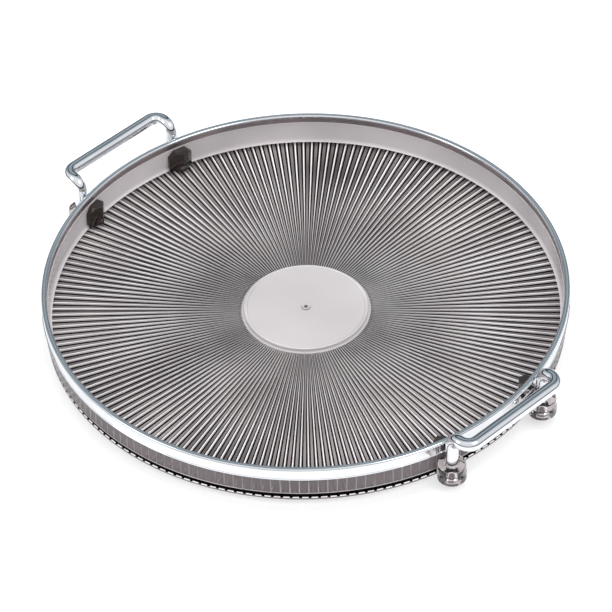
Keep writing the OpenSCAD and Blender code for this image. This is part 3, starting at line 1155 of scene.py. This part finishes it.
@dataclass
class WallClamp:
    """A ridged dark block inside the wall, which a screw draws against a socket.

    Attributes:
        width: Width along the wall.
        depth: How far the ridge stands in from the wall.
        shoulder: Size of the sloped shoulders.
        round: Radius of its edges.
        flank_at: Share of its depth at which its slanted sides end.
        undercut: How far its foot is cut back over the fillet.
        play: Gap between its back and the wall.
        lift: Gap between its foot and the floor.
        pocket_r: Radius of the pocket for the screw's head.
        pocket_h: Depth of that pocket.
    """

    width: float = 20.0 * MM
    depth: float = 9.5 * MM
    shoulder: float = 5.0 * MM
    round: float = 0.45 * MM
    flank_at: float = 0.35
    undercut: float = 3.3 * MM
    play: float = 0.05 * MM
    lift: float = 0.02 * MM
    pocket_r: float = 2.55 * MM
    pocket_h: float = 3.4 * MM

    def build(self, plastic: bpy.types.Material) -> None:
        """Models one block and copies it to all four legs.

        Args:
            plastic: Its material.
        """
        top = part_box("clamp_right_front")[1][2]
        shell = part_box("tray_shell")
        wall = shell[1][0] - WALL_T
        foot = shell[0][2] + BOSS_H + FLOOR_T + self.lift
        half = self.width / 2
        back = math.sqrt(wall**2 - half**2) - self.play
        flank = wall - self.flank_at * self.depth
        first = Bench.chain("wall_clamp", [
            (wall - self.depth, 0.0), (flank, half), (back, half), (back, -half), (flank, -half),
        ], up=(0.0, 1.0, 0.0))
        bpy.ops.transform.translate(value=(0.0, 0.0, foot))
        bpy.ops.mesh.edge_face_add()
        Bench.extrude((0.0, 0.0, top - foot))
        for side in (1.0, -1.0):
            Bench.cut((0.0, side * (half - self.shoulder), top), (0.0, side, 1.0))
        Bench.cut((wall - self.undercut, 0.0, foot), (1.0, 0.0, -1.0))
        Bench.weld()
        bpy.ops.object.mode_set(mode="OBJECT")
        Bench.bevel(first, self.round)
        self.bore(first, wall - self.depth)
        Bench.close(first, 35.0)
        Bench.dress(first, plastic)
        place_at_legs(first, "wall", "clamp", "dark_smoky_plastic")

    def bore(self, block: bpy.types.Object, ridge: float) -> None:
        """Sinks the pocket for the screw head into the ridge.

        Args:
            block: The block, in object mode.
            ridge: Distance of the ridge from the pivot.
        """
        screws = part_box("clamp_screws")
        height = (screws[0][2] + screws[1][2]) / 2
        Bench.clear()
        bpy.ops.mesh.primitive_cylinder_add(
            vertices=32, radius=self.pocket_r, depth=2 * self.pocket_h,
            location=(ridge, 0.0, height), rotation=(0.0, math.pi / 2, 0.0))
        cutter = bpy.context.object
        bpy.context.view_layer.objects.active = block
        modifier = block.modifiers.new("screw_pocket", "BOOLEAN")
        modifier.operation = "DIFFERENCE"
        modifier.solver = "EXACT"
        modifier.object = cutter
        bpy.ops.object.modifier_apply(modifier=modifier.name)
        bpy.data.objects.remove(cutter)


# ---------------------------------------------------------------- base


@dataclass
class BasePan:
    """The low pan that stands on the table, with its rolled flange, hub and ribs.

    Attributes:
        skin: Thickness of the pan.
        flange_t: Thickness of the flange.
        flange_w: Width of the flange.
        hub_r: Outer radius of the hub.
        bore_r: Radius of the journal bore.
        rib_count: Number of stiffening ribs.
        rib_t: Thickness of a stiffening rib.
        rib_h: Height of a stiffening rib.
        rib_start: Radius at which the ribs begin.
        hub_t: Thickness of the hub's top.
        hub_top: Height of the hub.
        groove_rs: Radii of the grooves in its underside.
        groove_w: Width of a groove.
        groove_d: Depth of a groove.
        corner: Size of its small chamfers.
        foot_edge: Size of the chamfer round its foot.
        steps: Steps round the pan.
        light_spot_steps: Steps from one spot of painted light to the next.
        edge_w: Width of the flange's bright edge.
    """

    skin: float = 1.8 * MM
    flange_t: float = 2.2 * MM
    flange_w: float = 13.5 * MM
    hub_r: float = 18.0 * MM
    bore_r: float = 5.05 * MM
    rib_count: int = 12
    rib_t: float = 1.4 * MM
    rib_h: float = 2.4 * MM
    hub_t: float = 2.2 * MM
    hub_top: float = 6.4 * MM
    rib_start: float = 111.0 * MM
    groove_rs: tuple[float, ...] = (60.0 * MM, 120.0 * MM)
    groove_w: float = 2.0 * MM
    groove_d: float = 0.4 * MM
    corner: float = 0.3 * MM
    foot_edge: float = 0.8 * MM
    steps: int = 540
    light_spot_steps: int = 3
    edge_w: float = 0.35 * MM

    def outline(self) -> list[Point2]:
        """Gives the closed section of the pan."""
        low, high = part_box("base_pan")
        outer = (high[0] - low[0]) / 2
        foot, top = low[2], high[2]
        upstand = outer - self.flange_w
        floor = foot + self.skin
        roll = self.flange_t / 2
        hub_low = self.hub_top - self.hub_t
        hub_in = self.hub_r - self.skin
        skirt = upstand + self.skin
        deep, wide = self.groove_d, self.groove_w
        notch = ((0.0, 0.0), (deep, deep), (wide - deep, deep), (wide, 0.0))
        return [
            (self.bore_r, hub_low), (hub_in, hub_low),
            (hub_in, foot + self.corner), (hub_in + self.corner, foot),
            *((radius + x, foot + y) for radius in self.groove_rs for x, y in notch),
            (skirt - self.foot_edge, foot), (skirt, foot + self.foot_edge), (skirt, top - self.flange_t),
            *arc((outer - roll, top - roll), roll, -90.0, 90.0, 8),
            (upstand, top), (upstand, floor), (self.hub_r + 0.5 * MM, floor), (self.hub_r, floor + 0.5 * MM),
            (self.hub_r, self.hub_top - self.corner), (self.hub_r - self.corner, self.hub_top),
            (self.bore_r, self.hub_top), (self.bore_r, hub_low),
        ]

    def build(self, plastic: bpy.types.Material, shade: bpy.types.Material,
              lit: bpy.types.Material, edge: bpy.types.Material) -> None:
        """Models, dresses and places the pan with its ribs.

        Args:
            plastic: Its material.
            shade: The material of the flange's top, in the tray's shade.
            lit: Painted light with a glow, in spots along the flange's top, for light that passes between the
                tray's ribs.
            edge: The material of the flange's rolled edge.
        """
        pan = Bench.turn("base_pan_moulding", self.outline(), self.steps)
        Bench.close(pan, 35.0)
        low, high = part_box("base_pan")
        rim = (high[0] - low[0]) / 2
        upstand = rim - self.flange_w
        first = self.rib(self.rib_start, upstand + 0.3 * MM, low[2] + self.skin)
        Bench.ring(first, "pan_rib", self.rib_count)
        Bench.join(pan, first)
        Bench.dress(pan, plastic, shade, lit, edge)
        # The flange's top is painted shade under the tray's ribs, with spots of painted light every few steps
        # and the rolled edge outside them.
        for face in pan.data.polygons:
            radius = math.hypot(face.center.x, face.center.y)
            if radius < upstand or face.center.z < high[2] - self.flange_t + 0.05 * MM:
                continue
            turns = math.atan2(face.center.y, face.center.x) / FULL_TURN
            step = int(turns * self.steps + self.steps) % self.light_spot_steps
            if radius > rim - self.edge_w:
                face.material_index = 3
            else:
                face.material_index = 2 if step and radius > rim - self.flange_t / 2 else 1
        place(pan, Body.BASE, "smoky_plastic", "base_pan")

    def rib(self, start: float, end: float, foot: float) -> bpy.types.Object:
        """Models one stiffening rib along +X, tapered towards its top.

        Args:
            start: Its inner radius.
            end: Its outer radius.
            foot: Height of the pan's floor.

        Returns:
            The rib.
        """
        middle = (start + end) / 2
        Bench.clear()
        bpy.ops.mesh.primitive_plane_add(size=1.0, location=(middle, 0.0, foot - 0.1 * MM))
        bpy.context.object.scale = (end - start, self.rib_t, 1.0)
        piece = Bench.take("pan_rib_0")
        Bench.extrude((0.0, 0.0, self.rib_h))
        bpy.ops.transform.resize(value=(0.99, 0.7, 1.0), center_override=(middle, 0.0, foot))
        Bench.weld()
        bpy.ops.object.mode_set(mode="OBJECT")
        Bench.bevel(piece, 0.25 * MM, 2)
        return piece


@dataclass
class RubberFeet:
    """The ring of rubber feet under the pan.

    Attributes:
        count: Number of feet.
        radius: Radius of a foot.
        edge: Radius of its lower edge.
        groove: Depth of the grooves in its tread.
        ring_in: Inner radius of the tread's ring.
        ring_out: Outer radius of that ring.
        rim_in: Inner radius of the tread's rim.
        slope: Width of a groove's sides.
    """

    count: int = 6
    radius: float = 7.0 * MM
    edge: float = 0.5 * MM
    groove: float = 0.35 * MM
    ring_in: float = 2.5 * MM
    ring_out: float = 3.9 * MM
    rim_in: float = 5.2 * MM
    slope: float = 0.3 * MM

    def build(self, rubber: bpy.types.Material) -> None:
        """Models one foot with a tread groove, and copies it round the pan.

        Args:
            rubber: Its material.
        """
        low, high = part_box("rubber_feet")
        ring_r = high[0] - self.radius
        foot, top = low[2], high[2]
        groove = foot + self.groove
        first = Bench.turn("rubber_feet_ring", [
            (0.0, groove), (self.ring_in - self.slope, groove), (self.ring_in, foot),
            (self.ring_out, foot), (self.ring_out + self.slope, groove),
            (self.rim_in - self.slope, groove), (self.rim_in, foot),
            *arc((self.radius - self.edge, foot + self.edge), self.edge, -90.0, 0.0, 3),
            (self.radius, top), (0.0, top),
        ], 48, (ring_r, 0.0))
        Bench.close(first)
        Bench.ring(first, "foot", self.count)
        Bench.dress(first, rubber)
        place(first, Body.BASE, "black_rubber", "rubber_feet")


# ---------------------------------------------------------------- hardware


@dataclass
class RaceScrews:
    """The screws of the upper race, modelled as far as their heads.

    Attributes:
        count: Number of screws.
        ring_r: Radius of their circle.
        head_r: Radius of a head.
        socket_r: Radius of the recess in a head.
        socket_h: Depth of the recess, as a share of the head's height.
    """

    count: int = 6
    ring_r: float = 90.0 * MM
    head_r: float = 2.3 * MM
    socket_r: float = 1.1 * MM
    socket_h: float = 0.55

    def build(self, steel: bpy.types.Material) -> None:
        """Models one head and copies it round the race.

        Args:
            steel: Its material.
        """
        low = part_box("upper_race_screws")[0][2]
        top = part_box("upper_race")[0][2]
        Bench.clear()
        bpy.ops.mesh.primitive_cylinder_add(
            vertices=36, radius=self.head_r, depth=top - low, location=(self.ring_r, 0.0, (low + top) / 2))
        first = Bench.take("race_screw_heads")
        Bench.pick(first, lambda place: place.z < low + HAIR)
        bpy.ops.mesh.inset(thickness=self.head_r - self.socket_r, depth=0.0)
        Bench.extrude((0.0, 0.0, self.socket_h * (top - low)))
        Bench.weld()
        bpy.ops.object.mode_set(mode="OBJECT")
        Bench.bevel(first, 0.12 * MM, 2, 50.0)
        Bench.close(first, 35.0)
        first.data.transform(Matrix.Rotation(math.pi / self.count, 4, "Z"))
        Bench.ring(first, "head", self.count)
        Bench.dress(first, steel)
        place(first, Body.TRAY, "race_steel", "upper_race_screws")


@dataclass
class Hardware:
    """The bearing, pivot and screws, which keep their own meshes.

    Attributes:
        finishes: The finish of each node.
    """

    finishes: dict[str, SmokyPlastic | BrightPlate | DullMetal | DrySolid]

    def dress(self) -> None:
        """Gives each node its material."""
        made: dict[str, bpy.types.Material] = {}
        for node, finish in self.finishes.items():
            if finish.name not in made:
                made[finish.name] = finish.make()
            Bench.dress(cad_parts[node], made[finish.name])
            LOG.info("%s: %s", node, finish.name)


# ---------------------------------------------------------------- studio


@dataclass
class Studio:
    """The table, the light and the camera.

    Attributes:
        azimuth: Direction of the camera about the pivot, in degrees.
        elevation: Height angle of the camera in degrees.
        distance: Distance of the camera from the middle of the rim.
        aim_drop: How far under the rim the camera aims.
        tilt: How far the camera leans, in degrees.
        lens: Focal length in millimetres.
        sensor: Width of the sensor in millimetres.
        table_w: Width of the table.
        mirrored_below: Height angle in degrees from which a soft box doesn't show in reflections.
    """

    azimuth: float = 46.5
    elevation: float = 42.45
    distance: float = 2.9928
    aim_drop: float = 24.1 * MM
    tilt: float = -1.466
    lens: float = 233.0
    sensor: float = 36.0
    table_w: float = 14.0
    mirrored_below: float = 70.0

    # Colours of the room from straight down, at 0, to straight up, at 1.
    HEIGHTS = (
        (0.0, (0.6, 0.6, 0.62)), (0.49, (0.3, 0.32, 0.34)), (0.51, (0.02, 0.024, 0.03)),
        (0.59, (0.03, 0.036, 0.045)), (0.615, (0.8, 0.82, 0.85)), (1.0, WHITE),
    )
    # Their factor from behind the camera, at 0, to straight ahead of it, at 1.
    BACKDROP = (
        (0.0, WHITE), (0.8, WHITE), (0.85, (0.42, 0.48, 0.53)), (0.905, (0.6, 0.66, 0.7)),
        (0.934, (0.04, 0.05, 0.065)), (0.956, (0.03, 0.04, 0.05)), (0.976, (0.3, 0.36, 0.4)),
        (1.0, (0.4, 0.47, 0.5)),
    )

    def toward(self, azimuth: float, elevation: float) -> Vector:
        """Gives the direction from the object to a place in the studio.

        Args:
            azimuth: Angle about the pivot in degrees, from -Y towards +X.
            elevation: Angle above the table in degrees.

        Returns:
            A unit vector.
        """
        a, e = math.radians(azimuth), math.radians(elevation)
        return Vector((math.sin(a) * math.cos(e), -math.cos(a) * math.cos(e), math.sin(e)))

    def set_camera(self) -> None:
        """Puts the camera at its viewing angle."""
        rim = Vector((0.0, 0.0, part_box("rim_band")[1][2]))
        data = bpy.data.cameras.new("studio_camera")
        data.lens = self.lens
        data.sensor_width = self.sensor
        data.clip_start = 0.05
        data.clip_end = 60.0
        camera = bpy.data.objects.new("studio_camera", data)
        bpy.context.collection.objects.link(camera)
        camera.location = rim + self.toward(self.azimuth, self.elevation) * self.distance
        aim = rim - Vector((0.0, 0.0, self.aim_drop))
        level = (aim - camera.location).to_track_quat("-Z", "Y").to_matrix()
        lean = Matrix.Rotation(math.radians(self.tilt), 3, "Z")
        camera.rotation_euler = (level @ lean).to_euler()
        bpy.context.scene.camera = camera

    def lay_table(self) -> None:
        """Lays the pale table top."""
        Bench.clear()
        bpy.ops.mesh.primitive_plane_add(size=self.table_w, location=(0.0, 0.0, -2 * HAIR))
        table = bpy.context.object
        table.name = "studio_table"
        recipe = Recipe("pale_table")
        recipe.set(Roughness=0.6, Specular_IOR_Level=0.2, Emission_Color=WHITE, Emission_Strength=0.5)
        recipe.blend_colour(recipe.noise(scale=3.0), (0.62, 0.62, 0.62), (0.64, 0.64, 0.64))
        Bench.dress(table, recipe.material)

    def hang_light(self, name: str, azimuth: float, elevation: float, distance: float,
                   size: Point2, power: float) -> None:
        """Hangs one soft box, which faces the object.

        Args:
            name: Its name.
            azimuth: Its direction about the pivot, in degrees from the camera's.
            elevation: Its height angle in degrees.
            distance: Its distance.
            size: Its width and height.
            power: Its power in watts.
        """
        data = bpy.data.lights.new(name, "AREA")
        data.shape = "RECTANGLE"
        data.size, data.size_y = size
        data.energy = power
        light = bpy.data.objects.new(name, data)
        bpy.context.collection.objects.link(light)
        light.location = self.toward(self.azimuth + azimuth, elevation) * distance
        light.visible_glossy = elevation < self.mirrored_below
        light.rotation_euler = (-light.location).to_track_quat("-Z", "Y").to_euler()

    def fill_room(self) -> None:
        """Makes the room: pale overhead, dark low down, and blue-grey where the camera faces."""
        world = bpy.data.worlds.new("studio_room")
        bpy.context.scene.world = world
        world.use_nodes = True
        tree = NodeTree(world.node_tree)
        coords = tree.add("TexCoord").outputs["Generated"]
        split = tree.add("SeparateXYZ")
        tree.link(coords, split, "Vector")
        heights = self.ramp(tree, split.outputs["Z"], self.HEIGHTS)
        ahead = tree.add("VectorMath", "DOT_PRODUCT")
        ahead.inputs[1].default_value = self.toward(self.azimuth + 180.0, self.elevation)
        tree.link(coords, ahead, 0)
        backdrop = self.ramp(tree, ahead.outputs["Value"], self.BACKDROP)
        both = tree.add("Mix", Factor=1.0)
        both.data_type = "RGBA"
        both.blend_type = "MULTIPLY"
        tree.link(heights, both, "A")
        tree.link(backdrop, both, "B")
        room = tree.add("Background")
        tree.link(both.outputs["Result"], room, "Color")
        plain = tree.add("Background", Color=(*WHITE, 1.0))
        mix = tree.add("MixShader")
        tree.link(tree.add("LightPath").outputs["Is Camera Ray"], mix, "Fac")
        tree.link(room.outputs["Background"], mix, 1)
        tree.link(plain.outputs["Background"], mix, 2)
        tree.link(mix.outputs["Shader"], tree.add("OutputWorld"), "Surface")

    @staticmethod
    def ramp(tree: NodeTree, value: bpy.types.NodeSocket,
             stops: Sequence[tuple[float, Colour]]) -> bpy.types.NodeSocket:
        """Colours a value that runs from -1 to 1.

        Args:
            tree: The node tree.
            value: The value.
            stops: Places on the ramp, from 0 for -1 to 1 for 1, with their colours.

        Returns:
            The colour.
        """
        lift = tree.add("MapRange", From_Min=-1.0)
        tree.link(value, lift, "Value")
        ramp = tree.add("ValToRGB")
        tree.link(lift.outputs["Result"], ramp, "Fac")
        elements = ramp.color_ramp.elements
        while len(elements) < len(stops):
            elements.new(0.5)
        for element, (at, colour) in zip(elements, stops):
            element.position = at
            element.color = (*colour, 1.0)
        return ramp.outputs["Color"]

    def build(self) -> None:
        """Sets up the whole studio."""
        self.lay_table()
        self.fill_room()
        self.hang_light("overhead_box", 180.0, elevation=80.0, distance=2.2, size=(1.6, 0.7), power=30.0)
        self.hang_light("key_box", 50.0, elevation=50.0, distance=2.4, size=(0.9, 0.9), power=8.0)
        self.hang_light("fill_box", -70.0, elevation=35.0, distance=2.4, size=(0.8, 1.2), power=5.0)
        bpy.context.scene.view_settings.view_transform = "Standard"
        bpy.context.scene.cycles.transparent_max_bounces = 24


def deep_shade(name: str) -> SmokyPlastic:
    """Gives the near-black painted shade of what the ribs keep in the dark."""
    return SmokyPlastic(name, (0.008, 0.006, 0.007), (0.003, 0.003, 0.003), 1.0,
                        cloud=40.0, smooth=0.7, worn=0.9, gloss=0.0)


def tray_looks() -> dict[Zone, bpy.types.Material]:
    """Makes the materials of the tray moulding's zones.

    Returns:
        A material for each zone.
    """
    finishes = {
        Zone.SKIN: SmokyPlastic("floor_skin", (0.5, 0.47, 0.47), (0.4, 0.37, 0.37), 0.01, gloss=0.3),
        Zone.OUTER_WALL: SmokyPlastic(
            "smoky_wall", (0.185, 0.155, 0.16), (0.14, 0.118, 0.122), 0.8, gloss=0.2),
        # Painted light: the inner face is a pale copy of the smoky wall.
        Zone.INNER_WALL: SmokyPlastic("inner_wall_painted_light", (0.8, 0.745, 0.75), (0.68, 0.63, 0.64), 0.85, gloss=0.2),
        Zone.DISC: SmokyPlastic("clear_disc", (0.63, 0.59, 0.59), (0.57, 0.535, 0.535), 0.82, gloss=0.3),
        Zone.BEAD: SmokyPlastic("clear_bead", (0.8, 0.77, 0.77), (0.55, 0.52, 0.52), 0.7, gloss=0.8),
        # Painted light: the white grooves and flanks stand in for light that comes through between the ribs.
        Zone.GROOVE: SmokyPlastic(
            "rib_groove_painted_light", (0.98, 0.96, 0.96), (0.75, 0.71, 0.71), 1.0,
            cloud=18.0, smooth=0.3, worn=0.4, gloss=0.2, inward=0.6),
        Zone.FLANK: SmokyPlastic(
            "rib_flank_painted_light", (0.95, 0.92, 0.92), (0.6, 0.56, 0.56), 1.0,
            cloud=18.0, smooth=0.4, worn=0.5, gloss=0.1, inward=0.5),
        # Painted shade: the black strips beside each crest.
        Zone.SHADE: deep_shade("rib_shade"),
        Zone.CREST: SmokyPlastic(
            "rib_crest", (0.37, 0.325, 0.32), (0.08, 0.064, 0.066), 1.0,
            cloud=11.0, smooth=0.35, worn=0.5, gloss=0.3, metal=0.1),
        # Painted highlights: thin light lines up the outer wall, one for each rib.
        Zone.PAINTED_WALL_HIGHLIGHT: SmokyPlastic(
            "painted_wall_highlight", (0.42, 0.38, 0.39), (0.19, 0.16, 0.165), 0.85, cloud=45.0, gloss=0.2),
        # Painted highlight along the wall's foot.
        Zone.PAINTED_FOOT_HIGHLIGHT: SmokyPlastic("painted_highlight_edge", (0.6, 0.56, 0.57), (0.42, 0.39, 0.4), 0.9, gloss=0.2),
    }
    return {zone: finish.make() for zone, finish in finishes.items()}


def main() -> None:
    """Builds every sub-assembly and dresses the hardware."""
    logging.basicConfig(level=logging.INFO, format="%(message)s", stream=sys.stdout)
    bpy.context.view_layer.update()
    plate = BrightPlate("bright_plate_finish").make()
    TrayMoulding().build(tray_looks())
    # A darker, browner copy of the plate: painted shade on the band's inner flange.
    shaded = BrightPlate("shaded_plate", (0.5, 0.44, 0.45), (0.34, 0.3, 0.31), smooth=0.3, wiped=0.45)
    RimBand().build(plate, shaded.make())
    for side in SIDES:
        RodHandle(side).build(plate)
    LegSocket().build(ClearPlastic("clear_cup", (0.72, 0.66, 0.66), (0.55, 0.49, 0.49)).make())
    WallClamp().build(SmokyPlastic("dark_block", (0.045, 0.03, 0.027), (0.015, 0.01, 0.009), 0.94).make())
    BasePan().build(
        SmokyPlastic("smoky_pan", (0.55, 0.51, 0.51), (0.45, 0.42, 0.42), 0.85).make(),
        # Painted shade on the flange's top, and painted light with a glow in spots along it.
        deep_shade("flange_shade").make(),
        SmokyPlastic("painted_light_spot", (0.9, 0.87, 0.87), (0.75, 0.71, 0.71), 1.0, gloss=0.2, glow=0.45).make(),
        SmokyPlastic("rolled_edge", (0.3, 0.27, 0.275), (0.2, 0.18, 0.185), 1.0, gloss=0.3).make(),
    )
    rubber = DrySolid("black_rubber_finish", (0.012, 0.012, 0.013), (0.03, 0.03, 0.03), 0.75)
    RubberFeet().build(rubber.make())
    zinc = DullMetal("zinc_plate", (0.62, 0.63, 0.65), (0.45, 0.46, 0.48))
    dark_steel = DullMetal("screw_steel_finish", (0.3, 0.3, 0.32), (0.18, 0.18, 0.19), 0.35)
    polished = BrightPlate("polished_steel", (0.8, 0.8, 0.82), (0.7, 0.7, 0.72))
    brass = DullMetal("turned_brass", (0.72, 0.52, 0.22), (0.55, 0.38, 0.15), 0.25)
    nylon = DrySolid("white_nylon_finish", (0.75, 0.73, 0.68), (0.82, 0.8, 0.76), 0.5)
    RaceScrews().build(zinc.make())
    Hardware({
        "lower_race": zinc, "upper_race": zinc, "lower_race_rivets": zinc,
        "pivot_washer": zinc, "leg_washers": zinc, "pivot_screw": dark_steel, "clamp_screws": dark_steel,
        "leg_screws": dark_steel, "bearing_balls": polished, "pivot_insert": brass, "ball_cage": nylon,
        "leg_gaskets": rubber,
    }).dress()
    Studio().set_camera()
    Studio().build()
    Bench.clear()


if __name__ == "__main__":
    main()
